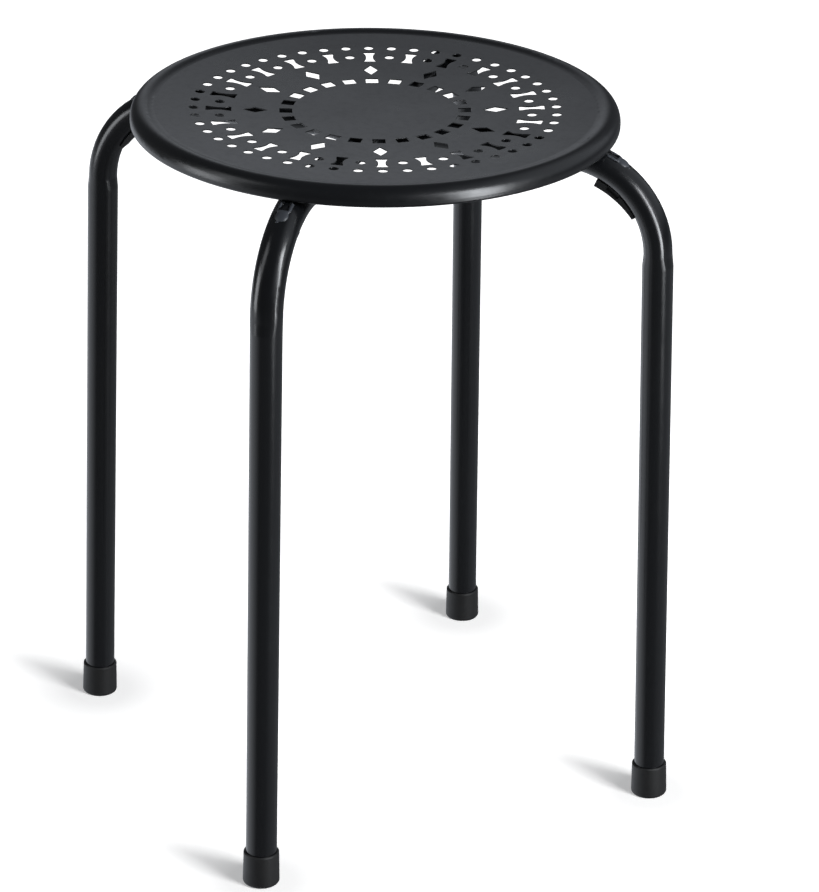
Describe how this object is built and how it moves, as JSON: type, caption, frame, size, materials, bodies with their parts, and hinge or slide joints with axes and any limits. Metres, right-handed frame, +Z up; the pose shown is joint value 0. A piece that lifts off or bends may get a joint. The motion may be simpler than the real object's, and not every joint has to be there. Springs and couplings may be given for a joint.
{
  "type": "stacking stool",
  "caption": "Round backless stacking stool: perforated pressed steel pan seat on two crossed bent tube frames with push-on foot caps and stacking bumpers",
  "frame": {"origin": "on the floor under the middle of the seat", "axes": "+Z up; the right leg stands on +X, the back leg on +Y, the left leg on -X and the front leg on -Y"},
  "size_m": [0.4046, 0.4046, 0.44],
  "materials": {
    "powder_coated_seat": "satin black powder coat on pressed steel sheet",
    "powder_coated_tube": "semi-gloss black powder coat on steel tube",
    "foot_cap_plastic": "matte black moulded plastic",
    "pad_plastic": "satin black moulded plastic"
  },
  "bodies": {
    "root": {"seat_pan": "powder_coated_seat", "side_leg_frame": "powder_coated_tube", "front_back_leg_frame": "powder_coated_tube", "right_foot_cap": "foot_cap_plastic", "back_foot_cap": "foot_cap_plastic", "left_foot_cap": "foot_cap_plastic", "front_foot_cap": "foot_cap_plastic", "right_stacking_pad": "pad_plastic", "back_stacking_pad": "pad_plastic", "left_stacking_pad": "pad_plastic", "front_stacking_pad": "pad_plastic", "right_seat_bracket": "powder_coated_tube", "back_seat_bracket": "powder_coated_tube", "left_seat_bracket": "powder_coated_tube", "front_seat_bracket": "powder_coated_tube"}
  },
  "joints": []
}
